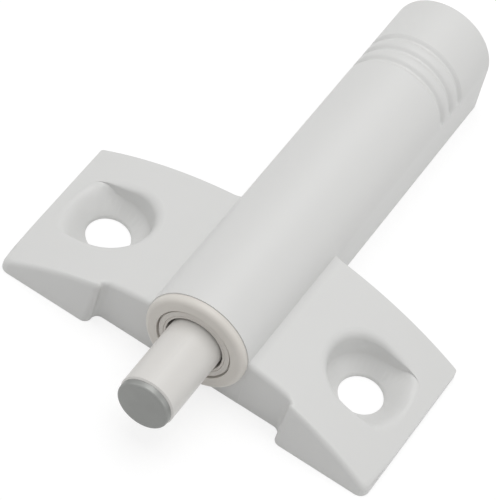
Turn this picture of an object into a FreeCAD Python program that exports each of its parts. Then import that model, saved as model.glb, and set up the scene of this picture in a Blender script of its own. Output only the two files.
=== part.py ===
import FreeCAD, Part
import math
import os

import Sketcher
from FreeCAD import Vector

# Push-to-open cupboard latch in a screw-on bracket.
# Frame: origin on the mounting face, midway between the two screw holes. +X runs across the wings,
# +Y runs along the tube away from the plunger, and +Z is up from the mounting face. Millimetres.

DRIVING_SIZES = (
    # Screw plate and wings
    ("screw_spacing", 32.0, "distance between the two screw holes"),
    ("screw_hole_radius", 2.5, "through hole for the screw shank"),
    ("screw_land", 0.35, "straight wall under the countersink"),
    ("head_recess_radius", 4.6, "round recess that takes the screw head"),
    ("countersink_height", 1.75, "height of the countersink's upper edge"),
    ("wing_end", 6.75, "screw hole to the wing's outer end"),
    ("plate_front", 11.0, "screw line to the plate's front edge"),
    ("plate_rear", 8.75, "screw line to the plate's rear edge"),
    ("wing_tip_height", 1.1, "thickness of a wing at its outer end"),
    ("wing_crown", 0.75, "bulge of the wing's top over its chord"),
    ("wing_shoulder_gap", 0.9, "from the tube out to where the wing's top starts to sweep up"),
    ("wing_shoulder_rise", 0.65, "height of the wing's top there, over the tube's axis"),
    ("wing_root_depth", 0.15, "how deep inside the tube's radius the sweep ends"),
    ("wing_root_rise", 1.1, "height of the sweep's inner end over the tube's axis"),
    ("wing_sweep_radius", 2.3, "hollow radius of the sweep"),
    ("wing_corner_round", 1.1, "plan radius of the wings' front corners"),
    ("mouth_step", 1.75, "how far the middle of the front edge stands back"),
    ("mouth_half_width", 11.55, "half the width of that step"),
    ("mouth_corner_round", 0.85, "plan radius of the step's corners"),
    ("front_edge_round", 0.8, "rounding along the front top edges"),
    # Cored slots under the thick roots of the wings
    ("core_wall", 1.5, "wall left round a cored slot"),
    ("core_width", 2.4, "width of a cored slot"),
    ("core_depth", 4.2, "depth of a cored slot from the mounting face"),
    # Tube
    ("tube_wall", 1.02, "wall of the tube's round top"),
    ("base_wall", 0.92, "wall left between the tube's bore and the mounting face"),
    ("tube_base_spread", 0.2, "how far the tube's flat base stands out past its radius"),
    ("tube_overhang", 0.85, "tube that runs on past the cartridge's rear end"),
    ("tube_end_chamfer", 0.3, "chamfer of the tube's rear outer edge"),
    ("ring_setback", 6.9, "rear end to the nearest ring groove"),
    ("ring_pitch", 2.0, "distance between ring grooves"),
    ("ring_count", 3, "number of ring grooves"),
    ("ring_width", 0.9, "width of a ring groove at the tube's surface"),
    ("ring_floor_width", 0.3, "width of its flat floor"),
    ("ring_depth", 0.28, "depth of a ring groove"),
    ("ring_arc", 178.0, "arc of a ring groove over the top, in degrees"),
    # Latch cartridge: sleeve, guide bush and end plug
    ("sleeve_wall", 1.0, "wall of the cartridge sleeve"),
    ("sleeve_clearance", 0.03, "push fit of the sleeve in the tube"),
    ("sleeve_length", 50.35, "sleeve from under its flange to its rear end"),
    ("flange_margin", 0.2, "how far the sleeve's flange stands in from the tube's outline"),
    ("flange_thickness", 1.1, "thickness and front rounding of the flange"),
    ("bush_wall", 1.1, "wall of the guide bush"),
    ("bush_clearance", 0.03, "push fit of the bush in the sleeve"),
    ("bush_length", 5.0, "length of the guide bush"),
    ("bush_setback", 0.15, "front of the bush behind the flange's front"),
    ("bush_seat_step", 0.35, "step in the sleeve's bore that the bush seats against"),
    ("bush_ring_width", 0.12, "half width and depth of the ring groove in the bush's front face"),
    ("bush_lead", 0.12, "chamfer at the bush's mouth"),
    ("snap_setback", 3.1, "sleeve's rear end to the front of its snap groove"),
    ("snap_width", 1.0, "width of the snap groove"),
    ("snap_depth", 0.3, "depth of the snap groove"),
    ("snap_clearance", 0.08, "play of the plug's bead in the groove"),
    ("spigot_clearance", 0.05, "radial play of the plug's spigot in the sleeve"),
    ("spigot_length", 6.6, "length of the plug's spigot"),
    ("plug_cap_thickness", 1.5, "thickness of the plug's outer cap"),
    ("plug_cap_chamfer", 0.4, "chamfer of the cap's outer edge"),
    ("key_width", 1.0, "width of the key rib inside the sleeve"),
    ("key_height", 0.6, "height of the key rib"),
    ("key_length", 14.0, "length of the key rib behind the bush"),
    ("key_clearance", 0.12, "play of the key rib in the plunger's keyway"),
    # Plunger and magnet
    ("plunger_radius", 3.15, "radius of the plunger's rod"),
    ("plunger_reach", 10.0, "rod that stands out of the bracket's mouth face"),
    ("plunger_tip_chamfer", 0.18, "chamfer of the rod's front rim"),
    ("plunger_rim_wall", 0.23, "rim of the rod round the magnet"),
    ("running_clearance", 0.1, "radial play of the sliding plunger"),
    ("stop_gap", 0.1, "play between the plunger's collar and the bush"),
    ("collar_length", 2.6, "full round collar at the front of the tail"),
    ("tail_end_wall", 2.5, "tail left behind the cam track"),
    ("pilot_clearance", 0.25, "radial play of the spring on its pilots"),
    ("pilot_length", 1.5, "length of the spring pilots"),
    ("magnet_thickness", 2.0, "thickness of the magnet"),
    ("magnet_proud", 0.85, "how far the magnet stands out of the rod"),
    ("magnet_edge_chamfer", 0.25, "chamfer of the magnet's front edge"),
    ("magnet_clearance", 0.02, "radial play of the magnet in its recess"),
    # Heart-shaped cam track and its follower
    ("stroke", 9.0, "plunger travel from rest to fully pressed"),
    ("latch_stroke", 7.6, "plunger travel from rest to the latched place"),
    ("cam_flat_height", 1.7, "height of the cam flat over the axis"),
    ("cam_depth", 1.2, "depth of the cam track"),
    ("cam_swing", 2.0, "sideways swing of the follower's tip"),
    ("cam_clearance", 0.15, "play of the follower in the track"),
    ("ramp_rise", 0.4, "rise of the one-way ramps in the track's floor"),
    ("heart_lobe", 0.5, "how far the heart's lobes stand ahead of its notch"),
    ("cusp_offset", 0.35, "sideways offset of the cusp that faces the notch"),
    ("cusp_rise", 0.4, "how far the cusp stands out of the track's front wall"),
    ("follower_radius", 0.4, "radius of the follower's wire"),
    ("follower_gap", 0.1, "gap between the follower's leg and the cam flat"),
    ("follower_bend", 0.4, "how far the follower's wire cuts its two corners"),
    ("pivot_inset", 0.8, "follower's pivot behind the plug's face that the spring rests on"),
    ("pivot_depth", 2.2, "depth of the follower's pivot leg in the plug"),
    ("pivot_clearance", 0.05, "radial play of the pivot leg in its hole"),
    ("slot_half_width", 0.9, "half width of the plug's slot for the follower"),
    # Spring
    ("spring_wire_radius", 0.25, "radius of the spring's wire"),
    ("spring_clearance", 0.35, "radial play of the coils in the sleeve"),
    ("spring_turns", 9.5, "number of turns"),
)

# How far a cutting outline runs past the material that it cuts
OVERRUN = 1.0
# Straight stretches that stand for one turn of the spring, and flats that stand for its round wire
SPRING_SIDES = 12
WIRE_FLATS = 8
# How close a point must lie to a plane or line to count as on it
ON_PLANE = 1e-4


class Size:
    """A size that carries its value and the sheet formula that gives it."""

    def __init__(self, value, formula):
        self.value = float(value)
        self.formula = formula

    @staticmethod
    def of(other):
        return other if isinstance(other, Size) else Size(other, repr(float(other)))

    def joined(self, other, sign, value):
        return Size(value, "(" + self.formula + " " + sign + " " + other.formula + ")")

    def __add__(self, other):
        other = Size.of(other)
        return self.joined(other, "+", self.value + other.value)

    def __sub__(self, other):
        other = Size.of(other)
        return self.joined(other, "-", self.value - other.value)

    def __mul__(self, other):
        other = Size.of(other)
        return self.joined(other, "*", self.value * other.value)

    def __truediv__(self, other):
        other = Size.of(other)
        return self.joined(other, "/", self.value / other.value)

    def __radd__(self, other):
        return Size.of(other) + self

    def __rsub__(self, other):
        return Size.of(other) - self

    def __rmul__(self, other):
        return Size.of(other) * self

    def __neg__(self):
        return Size(-self.value, "(-1 * " + self.formula + ")")

    def root(self):
        return Size(math.sqrt(self.value), "sqrt(" + self.formula + ")")


class Sizes:
    """The driving sizes as attributes, each bound to its cell of the sheet."""

    def __init__(self, doc):
        sheet = doc.addObject("Spreadsheet::Sheet", "Sizes")
        for row, (name, value, note) in enumerate(DRIVING_SIZES, start=1):
            sheet.set("A%d" % row, name)
            sheet.set("B%d" % row, str(value))
            sheet.set("C%d" % row, note)
            sheet.setAlias("B%d" % row, name)
            setattr(self, name, Size(value, "Sizes." + name))


class Arc:
    """A round stretch of an outline, with its centre left or right of the way along it."""

    def __init__(self, radius, centre_left=True):
        self.radius = radius
        self.centre_left = centre_left


def new_body(doc, label):
    body = doc.addObject("PartDesign::Body", label)
    body.Label = label
    return body


def origin_feature(body, role):
    for feature in body.Origin.OriginFeatures:
        if feature.Role == role:
            return feature
    raise LookupError(role)


def new_sketch(body, name, plane, offset=None):
    """A sketch on one of the body's own origin planes, lifted off it by offset."""
    sketch = body.newObject("Sketcher::SketchObject", name)
    sketch.AttachmentSupport = [(origin_feature(body, plane), "")]
    sketch.MapMode = "FlatFace"
    if offset is not None:
        sketch.setExpression(".AttachmentOffset.Base.z", offset.formula)
    return sketch


def bind_point(sketch, geometry, end, point):
    """Fix a point of the sketch at two sizes from the sketch's origin."""
    for kind, size in zip(("DistanceX", "DistanceY"), point):
        size = Size.of(size)
        index = sketch.addConstraint(Sketcher.Constraint(kind, -1, 1, geometry, end, size.value))
        sketch.setExpression("Constraints[%d]" % index, size.formula)


def bind_radius(sketch, geometry, radius):
    radius = Size.of(radius)
    index = sketch.addConstraint(Sketcher.Constraint("Radius", geometry, radius.value))
    sketch.setExpression("Constraints[%d]" % index, radius.formula)


def arc_geometry(start, end, radius, centre_left):
    """The arc from start to end. Its centre lies left or right of the way from start to end."""
    chord = end - start
    middle = (start + end) * 0.5
    across = Vector(-chord.y, chord.x, 0).normalize()
    height = math.sqrt(max(radius ** 2 - (chord.Length / 2) ** 2, 0.0))
    centre = middle + across * (height if centre_left else -height)
    first, last = (start, end) if centre_left else (end, start)
    turn_first = math.atan2(first.y - centre.y, first.x - centre.x)
    turn_last = math.atan2(last.y - centre.y, last.x - centre.x)
    circle = Part.Circle(centre, Vector(0, 0, 1), radius)
    return Part.ArcOfCircle(circle, turn_first, turn_last)


def draw_stretch(sketch, start, end, arc):
    """One stretch of an outline, from start to end: its geometry, and which ends are its start and end."""
    places = [Vector(Size.of(x).value, Size.of(y).value, 0) for x, y in (start, end)]
    if arc is None:
        return sketch.addGeometry(Part.LineSegment(places[0], places[1]), False), 1, 2
    radius = Size.of(arc.radius)
    shape = arc_geometry(places[0], places[1], radius.value, arc.centre_left)
    geometry = sketch.addGeometry(shape, False)
    bind_radius(sketch, geometry, radius)
    return (geometry, 1, 2) if arc.centre_left else (geometry, 2, 1)


def draw_path(sketch, points, arcs, closed):
    """Stretches from point to point. arcs gives the stretches that are round, by their number."""
    count = len(points) if closed else len(points) - 1
    stretches = []
    for number in range(count):
        following = points[(number + 1) % len(points)]
        stretches.append(draw_stretch(sketch, points[number], following, arcs.get(number)))
    for number, (geometry, begin, _) in enumerate(stretches):
        bind_point(sketch, geometry, begin, points[number])
        if number > 0 or closed:
            before, _, finish = stretches[number - 1]
            sketch.addConstraint(Sketcher.Constraint("Coincident", before, finish, geometry, begin))
    if not closed:
        last, _, finish = stretches[-1]
        bind_point(sketch, last, finish, points[-1])


def draw_outline(sketch, points, arcs=None):
    draw_path(sketch, points, arcs or {}, closed=True)


def draw_line(sketch, points):
    draw_path(sketch, points, {}, closed=False)


def draw_circle(sketch, centre, radius):
    place = Vector(Size.of(centre[0]).value, Size.of(centre[1]).value, 0)
    circle = Part.Circle(place, Vector(0, 0, 1), Size.of(radius).value)
    geometry = sketch.addGeometry(circle, False)
    bind_point(sketch, geometry, 3, centre)
    bind_radius(sketch, geometry, radius)


def draw_axis(sketch, start, end):
    """A construction line that a revolved cut turns about."""
    places = [Vector(Size.of(x).value, Size.of(y).value, 0) for x, y in (start, end)]
    geometry = sketch.addGeometry(Part.LineSegment(places[0], places[1]), True)
    bind_point(sketch, geometry, 1, start)
    bind_point(sketch, geometry, 2, end)


def extrude(body, kind, sketch, name, length, second=None, reverse=False, symmetric=False):
    """Pad or pocket a sketch: length along its normal for a pad, and second the other way."""
    feature = body.newObject("PartDesign::" + kind, name)
    feature.Profile = sketch
    feature.Reversed = reverse
    if symmetric:
        feature.SideType = "Symmetric"
    if second is not None:
        feature.SideType = "Two sides"
        feature.setExpression("Length2", second.formula)
    feature.setExpression("Length", Size.of(length).formula)
    return feature


def revolve(body, kind, sketch, name, axis="H_Axis", angle=None):
    feature = body.newObject("PartDesign::" + kind, name)
    feature.Profile = sketch
    feature.ReferenceAxis = (sketch, [axis])
    if angle is None:
        feature.Angle = 360
    else:
        feature.Midplane = True
        feature.setExpression("Angle", angle.formula)
    return feature


def mirror(body, name, features, plane="YZ_Plane"):
    feature = body.newObject("PartDesign::Mirrored", name)
    feature.Originals = features
    feature.MirrorPlane = (origin_feature(body, plane), [""])
    body.Tip = feature
    return feature


def dress_edges(doc, body, kind, name, size, wanted):
    """Fillet or chamfer the edges of the body as it stands that the test wanted picks."""
    doc.recompute()
    base = body.Tip
    names = ["Edge%d" % (number + 1) for number, edge in enumerate(base.Shape.Edges) if wanted(edge)]
    feature = body.newObject("PartDesign::" + kind, name)
    feature.Base = (base, names)
    feature.setExpression("Radius" if kind == "Fillet" else "Size", size.formula)
    return feature


def lift_to_axis(item, s):
    """Cartridge pieces are drawn about the Y axis and lifted to the tube's axis."""
    item.setExpression(".Placement.Base.z", axis_height(s).formula)


def bush_bore(s):
    return s.plunger_radius + s.running_clearance


def bush_radius(s):
    return bush_bore(s) + s.bush_wall


def sleeve_bore(s):
    return bush_radius(s) - s.bush_seat_step


def sleeve_radius(s):
    return sleeve_bore(s) + s.sleeve_wall


def tube_bore_radius(s):
    return sleeve_radius(s) + s.sleeve_clearance


def tube_radius(s):
    return tube_bore_radius(s) + s.tube_wall


def tube_base_half_width(s):
    return tube_radius(s) + s.tube_base_spread


def axis_height(s):
    """Height of the tube's axis over the mounting face."""
    return tube_bore_radius(s) + s.base_wall


def plate_half_width(s):
    return s.screw_spacing / 2 + s.wing_end


def wing_root(s):
    """Inner end of the hollow sweep, inside the tube: half width and height."""
    return tube_radius(s) - s.wing_root_depth, axis_height(s) + s.wing_root_rise


def magnet_recess(s):
    return s.plunger_radius - s.plunger_rim_wall


def spring_radius(s):
    """Mean radius of the coils."""
    return sleeve_bore(s) - s.spring_clearance - s.spring_wire_radius


def pilot_radius(s):
    return spring_radius(s) - s.spring_wire_radius - s.pilot_clearance


def mouth_plane(s):
    """Y of the face that the tube's mouth and the sleeve's flange share."""
    return -(s.plate_front - s.mouth_step)


def bush_rear(s):
    return mouth_plane(s) - s.flange_thickness + s.bush_setback + s.bush_length


def tail_front(s):
    return bush_rear(s) + s.stop_gap


def tail_rear(s):
    return track_entry(s) + track_half_width(s) + s.tail_end_wall


def tail_radius(s):
    return sleeve_bore(s) - s.running_clearance


def sleeve_rear(s):
    return mouth_plane(s) + s.sleeve_length


def tube_rear(s):
    return sleeve_rear(s) + s.plug_cap_thickness + s.tube_overhang


def plug_seat(s):
    """Y of the end plug's face that the spring rests on."""
    return sleeve_rear(s) - s.spigot_length


def track_half_width(s):
    return s.follower_radius + s.cam_clearance


def track_front(s):
    """Y of the follower's tip, on the plunger, when the plunger is fully pressed."""
    return tail_front(s) + s.collar_length + track_half_width(s)


def follower_rest(s):
    """Y of the follower's tip while the plunger is at rest."""
    return track_front(s) + s.stroke


def track_entry(s):
    """Y where the track's round rear end begins."""
    return follower_rest(s) + s.cam_clearance * 2


def pivot_place(s):
    return plug_seat(s) + s.pivot_inset


def follower_height(s):
    """Height of the follower's straight leg over the axis."""
    return s.cam_flat_height + s.follower_gap + s.follower_radius


def wing_block(body, s):
    """Both wings in one block: flat below, crowned above, with a hollow sweep up to the tube."""
    sketch = new_sketch(body, "WingSection", "XZ_Plane")
    half = plate_half_width(s)
    shoulder_reach = tube_radius(s) + s.wing_shoulder_gap
    shoulder_height = axis_height(s) + s.wing_shoulder_rise
    root_reach, root_height = wing_root(s)
    run = half - shoulder_reach
    rise = shoulder_height - s.wing_tip_height
    crown_radius = (run * run + rise * rise) / (s.wing_crown * 8) + s.wing_crown / 2
    points = [
        (-half, 0),
        (half, 0),
        (half, s.wing_tip_height),
        (shoulder_reach, shoulder_height),
        (root_reach, root_height),
        (-root_reach, root_height),
        (-shoulder_reach, shoulder_height),
        (-half, s.wing_tip_height),
    ]
    arcs = {
        2: Arc(crown_radius),
        3: Arc(s.wing_sweep_radius, centre_left=False),
        5: Arc(s.wing_sweep_radius, centre_left=False),
        6: Arc(crown_radius),
    }
    draw_outline(sketch, points, arcs)
    extrude(body, "Pad", sketch, "WingBlock", s.plate_front, second=s.plate_rear)


def front_step(body, s):
    """The middle of the front edge stands back from the wings, with round corners in plan."""
    sketch = new_sketch(body, "FrontStepOutline", "XY_Plane")
    front = -s.plate_front
    back = mouth_plane(s)
    half = s.mouth_half_width
    corner = s.mouth_corner_round
    points = [
        (-half - corner, front),
        (-half, front + corner),
        (-half, back - corner),
        (-half + corner, back),
        (half - corner, back),
        (half, back - corner),
        (half, front + corner),
        (half + corner, front),
        (half + corner, front - OVERRUN),
        (-half - corner, front - OVERRUN),
    ]
    arcs = {
        0: Arc(corner),
        2: Arc(corner, centre_left=False),
        4: Arc(corner, centre_left=False),
        6: Arc(corner),
    }
    draw_outline(sketch, points, arcs)
    root_height = wing_root(s)[1]
    extrude(body, "Pocket", sketch, "FrontStep", root_height + OVERRUN, reverse=True)


def front_corners(body, s):
    """The wings' outer front corners are round in plan."""
    sketch = new_sketch(body, "FrontCornerOutline", "XY_Plane")
    front = -s.plate_front
    half = plate_half_width(s)
    corner = s.wing_corner_round
    points = [
        (half - corner, front),
        (half, front + corner),
        (half + OVERRUN, front + corner),
        (half + OVERRUN, front - OVERRUN),
        (half - corner, front - OVERRUN),
    ]
    draw_outline(sketch, points, {0: Arc(corner)})
    cut = extrude(body, "Pocket", sketch, "FrontCorner", axis_height(s), reverse=True)
    mirror(body, "FrontCorners", [cut])


def is_front_top_edge(s):
    """Picks the edges along the top of the front faces, which run across, not up."""
    rearmost = mouth_plane(s).value + ON_PLANE
    lowest = s.wing_tip_height.value - ON_PLANE

    def wanted(edge):
        box = edge.BoundBox
        runs_across = box.XLength > ON_PLANE
        return box.YMax < rearmost and box.ZMin > lowest and runs_across

    return wanted


def tube(body, s):
    """The tube: round over the top, with sides that spread a little down to a flat base."""
    sketch = new_sketch(body, "TubeSection", "XZ_Plane")
    base = tube_base_half_width(s)
    radius = tube_radius(s)
    axis = axis_height(s)
    points = [(-base, 0), (base, 0), (radius, axis), (0, axis + radius), (-radius, axis)]
    draw_outline(sketch, points, {2: Arc(radius), 3: Arc(radius)})
    extrude(body, "Pad", sketch, "Tube", -mouth_plane(s), second=tube_rear(s))


def is_tube_end_edge(s):
    rear = tube_rear(s).value - ON_PLANE

    def wanted(edge):
        return edge.BoundBox.YMin > rear and edge.BoundBox.ZMax > ON_PLANE

    return wanted


def tube_bore(body, s):
    sketch = new_sketch(body, "BoreCircle", "XZ_Plane")
    draw_circle(sketch, (0, axis_height(s)), tube_bore_radius(s))
    extrude(body, "Pocket", sketch, "Bore", tube_rear(s) + OVERRUN, second=s.plate_front + OVERRUN)


def screw_recesses(body, s):
    """Shank hole, countersink and straight-walled head recess on each wing."""
    sketch = new_sketch(body, "ScrewRecessSection", "XZ_Plane")
    centre = s.screw_spacing / 2
    top = axis_height(s) + tube_radius(s)
    points = [
        (centre, -OVERRUN),
        (centre + s.screw_hole_radius, -OVERRUN),
        (centre + s.screw_hole_radius, s.screw_land),
        (centre + s.head_recess_radius, s.countersink_height),
        (centre + s.head_recess_radius, top),
        (centre, top),
    ]
    draw_outline(sketch, points)
    draw_axis(sketch, (centre, -OVERRUN), (centre, top))
    recess = revolve(body, "Groove", sketch, "ScrewRecess", axis="Axis0")
    mirror(body, "ScrewRecesses", [recess])


def cored_slots(body, s):
    """Slots in the underside that keep the roots of the wings from being one thick mass."""
    sketch = new_sketch(body, "CoredSlotOutline", "XY_Plane")
    inner = tube_base_half_width(s) + s.core_wall
    outer = inner + s.core_width
    front = mouth_plane(s) + s.core_wall
    rear = s.plate_rear - s.core_wall
    points = [(inner, front), (outer, front), (outer, rear), (inner, rear)]
    draw_outline(sketch, points)
    slot = extrude(body, "Pocket", sketch, "CoredSlot", s.core_depth, reverse=True)
    mirror(body, "CoredSlots", [slot])


def ring_grooves(body, s):
    """Short grooves round the top of the tube near its rear end."""
    sketch = new_sketch(body, "RingGrooveSection", "YZ_Plane")
    middle = tube_rear(s) - s.ring_setback
    front = middle - s.ring_width / 2
    rear = middle + s.ring_width / 2
    axis = axis_height(s)
    top = axis + tube_radius(s)
    points = [
        (front, top),
        (middle - s.ring_floor_width / 2, top - s.ring_depth),
        (middle + s.ring_floor_width / 2, top - s.ring_depth),
        (rear, top),
        (rear, top + OVERRUN),
        (front, top + OVERRUN),
    ]
    draw_outline(sketch, points)
    draw_axis(sketch, (front, axis), (rear, axis))
    groove = revolve(body, "Groove", sketch, "RingGroove", axis="Axis0", angle=s.ring_arc)
    pattern = body.newObject("PartDesign::LinearPattern", "RingGrooves")
    pattern.Originals = [groove]
    pattern.Direction = (origin_feature(body, "Y_Axis"), [""])
    pattern.Reversed = True
    pattern.setExpression("Length", (s.ring_pitch * (s.ring_count - 1)).formula)
    pattern.setExpression("Occurrences", s.ring_count.formula)
    body.Tip = pattern


def mounting_bracket(doc, s):
    """The moulded bracket: two screw wings and the tube that takes the latch cartridge."""
    body = new_body(doc, "mounting_bracket")
    wing_block(body, s)
    front_step(body, s)
    dress_edges(doc, body, "Fillet", "FrontEdgeRound", s.front_edge_round, is_front_top_edge(s))
    front_corners(body, s)
    tube(body, s)
    dress_edges(doc, body, "Chamfer", "TubeEndChamfer", s.tube_end_chamfer, is_tube_end_edge(s))
    tube_bore(body, s)
    screw_recesses(body, s)
    cored_slots(body, s)
    ring_grooves(body, s)
    return body


def cartridge_sleeve(doc, s):
    """The cartridge's sleeve: round-nosed front flange, seat for the bush, snap groove and key rib."""
    body = new_body(doc, "cartridge_sleeve")
    sketch = new_sketch(body, "SleeveSection", "YZ_Plane")
    seat = mouth_plane(s)
    front = seat - s.flange_thickness
    rear = sleeve_rear(s)
    bore = sleeve_bore(s)
    outside = sleeve_radius(s)
    flange = tube_radius(s) - s.flange_margin
    bush_seat = bush_radius(s) + s.bush_clearance
    groove_front = rear - s.snap_setback
    groove_rear = groove_front + s.snap_width
    points = [
        (front, bush_seat),
        (front, flange - s.flange_thickness),
        (seat, flange),
        (seat, outside),
        (rear, outside),
        (rear, bore),
        (groove_rear, bore),
        (groove_rear, bore + s.snap_depth),
        (groove_front, bore + s.snap_depth),
        (groove_front, bore),
        (bush_rear(s), bore),
        (bush_rear(s), bush_seat),
    ]
    draw_outline(sketch, points, {1: Arc(s.flange_thickness, centre_left=False)})
    revolve(body, "Revolution", sketch, "Sleeve")
    key = new_sketch(body, "KeyRibOutline", "XY_Plane", offset=-bore - s.key_height / 2)
    key_front = bush_rear(s)
    points = [
        (-s.key_width / 2, key_front),
        (s.key_width / 2, key_front),
        (s.key_width / 2, key_front + s.key_length),
        (-s.key_width / 2, key_front + s.key_length),
    ]
    draw_outline(key, points)
    extrude(body, "Pad", key, "KeyRib", s.key_height * 1.5)
    lift_to_axis(body, s)
    return body


def guide_bush(doc, s):
    """The bush in the sleeve's mouth that the plunger slides in, with a ring groove in its face."""
    body = new_body(doc, "guide_bush")
    sketch = new_sketch(body, "BushSection", "YZ_Plane")
    rear = bush_rear(s)
    front = rear - s.bush_length
    bore = bush_bore(s)
    outside = bush_radius(s)
    ring = (bore + outside) / 2
    points = [
        (front + s.bush_lead, bore),
        (front, bore + s.bush_lead),
        (front, ring - s.bush_ring_width),
        (front + s.bush_ring_width, ring),
        (front, ring + s.bush_ring_width),
        (front, outside - s.bush_lead),
        (front + s.bush_lead, outside),
        (rear, outside),
        (rear, bore),
    ]
    draw_outline(sketch, points)
    revolve(body, "Revolution", sketch, "Bush")
    lift_to_axis(body, s)
    return body


def plunger_blank(body, s):
    """The turned form of the plunger: magnet recess, rod, collar, tail and spring pilot."""
    sketch = new_sketch(body, "PlungerSection", "YZ_Plane")
    rim = mouth_plane(s) - s.plunger_reach
    recess = magnet_recess(s)
    recess_floor = rim + s.magnet_thickness - s.magnet_proud
    points = [
        (recess_floor, 0),
        (recess_floor, recess),
        (rim, recess),
        (rim, s.plunger_radius - s.plunger_tip_chamfer),
        (rim + s.plunger_tip_chamfer, s.plunger_radius),
        (tail_front(s), s.plunger_radius),
        (tail_front(s), tail_radius(s)),
        (tail_rear(s), tail_radius(s)),
        (tail_rear(s), pilot_radius(s)),
        (tail_rear(s) + s.pilot_length, pilot_radius(s)),
        (tail_rear(s) + s.pilot_length, 0),
    ]
    draw_outline(sketch, points)
    revolve(body, "Revolution", sketch, "PlungerBlank")


def cam_flat(body, s):
    """The flat along the top of the tail that the follower's leg lies over."""
    sketch = new_sketch(body, "CamFlatOutline", "YZ_Plane")
    front = tail_front(s) + s.collar_length
    rear = tail_rear(s) + s.pilot_length + OVERRUN
    top = sleeve_bore(s) + OVERRUN
    points = [(front, s.cam_flat_height), (rear, s.cam_flat_height), (rear, top), (front, top)]
    draw_outline(sketch, points)
    extrude(body, "Pocket", sketch, "CamFlat", sleeve_bore(s) * 2, symmetric=True)


def cam_track(body, s):
    """The heart-shaped track: a way in on one side of the heart, a notch, and a way back."""
    sketch = new_sketch(body, "CamTrackOutline", "XY_Plane", offset=s.cam_flat_height)
    half = track_half_width(s)
    rest = follower_rest(s)
    pressed = track_front(s)
    slant = (s.cam_swing * s.cam_swing + s.stroke * s.stroke).root()
    side = half * s.stroke / slant
    lag = half * s.cam_swing / slant
    entry = track_entry(s)
    points = [
        (side, rest + lag),
        (half, entry),
        (0, entry + half),
        (-half, entry),
        (-side, rest + lag),
        (-s.cam_swing - side, pressed + lag),
        (-s.cam_swing, pressed - half),
        (s.cusp_offset, pressed - half + s.cusp_rise),
        (s.cam_swing, pressed - half),
        (s.cam_swing + side, pressed + lag),
    ]
    arcs = {1: Arc(half), 2: Arc(half), 5: Arc(half), 8: Arc(half)}
    draw_outline(sketch, points, arcs)

    notch = rest - s.latch_stroke
    apex = rest - half * slant / s.cam_swing
    lobe_front = notch - s.heart_lobe
    lobe_reach = (apex - lobe_front) * s.cam_swing / s.stroke
    notch_radius = s.follower_radius + s.cam_clearance / 2
    points = [
        (0, apex),
        (-lobe_reach, lobe_front),
        (-notch_radius, notch),
        (0, notch + notch_radius),
        (notch_radius, notch),
        (lobe_reach, lobe_front),
    ]
    arcs = {2: Arc(notch_radius, centre_left=False), 3: Arc(notch_radius, centre_left=False)}
    draw_outline(sketch, points, arcs)
    extrude(body, "Pocket", sketch, "CamTrack", s.cam_depth)


def cam_ramps(body, s):
    """A ramp in the floor of each way, which drops at its end so that the tip can't turn back."""
    floor = s.cam_flat_height - s.cam_depth
    rest = follower_rest(s)
    start = track_half_width(s) * s.stroke / s.cam_swing
    high_end = track_front(s) + track_half_width(s)
    low_end = rest - start
    reach = s.cam_swing + track_half_width(s) * 2
    sinks = floor - s.ramp_rise
    crest = floor + s.ramp_rise
    way_in = new_sketch(body, "WayInRamp", "YZ_Plane")
    draw_outline(way_in, [(low_end, sinks), (low_end, floor), (high_end, crest), (high_end, sinks)])
    extrude(body, "Pad", way_in, "RampIn", reach)
    way_back = new_sketch(body, "WayBackRamp", "YZ_Plane")
    draw_outline(way_back, [(low_end, sinks), (low_end, crest), (high_end, floor), (high_end, sinks)])
    extrude(body, "Pad", way_back, "RampBack", reach, reverse=True)


def keyway(body, s):
    """The groove under the tail that rides on the sleeve's key rib and keeps the flat on top."""
    sketch = new_sketch(body, "KeywayOutline", "XZ_Plane")
    half = s.key_width / 2 + s.key_clearance
    top = -sleeve_bore(s) + s.key_height + s.key_clearance
    bottom = -sleeve_bore(s) - OVERRUN
    draw_outline(sketch, [(-half, bottom), (half, bottom), (half, top), (-half, top)])
    rear = tail_rear(s) + s.pilot_length + OVERRUN
    extrude(body, "Pocket", sketch, "Keyway", rear, second=-tail_front(s))


def plunger(doc, s):
    body = new_body(doc, "plunger")
    plunger_blank(body, s)
    cam_flat(body, s)
    cam_track(body, s)
    cam_ramps(body, s)
    keyway(body, s)
    lift_to_axis(body, s)
    return body


def magnet(doc, s):
    """The round magnet in the plunger's tip."""
    body = new_body(doc, "magnet")
    sketch = new_sketch(body, "MagnetSection", "YZ_Plane")
    front = mouth_plane(s) - s.plunger_reach - s.magnet_proud
    rear = front + s.magnet_thickness
    radius = magnet_recess(s) - s.magnet_clearance
    points = [
        (rear, 0),
        (front, 0),
        (front, radius - s.magnet_edge_chamfer),
        (front + s.magnet_edge_chamfer, radius),
        (rear, radius),
    ]
    draw_outline(sketch, points)
    revolve(body, "Revolution", sketch, "Magnet")
    lift_to_axis(body, s)
    return body


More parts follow.
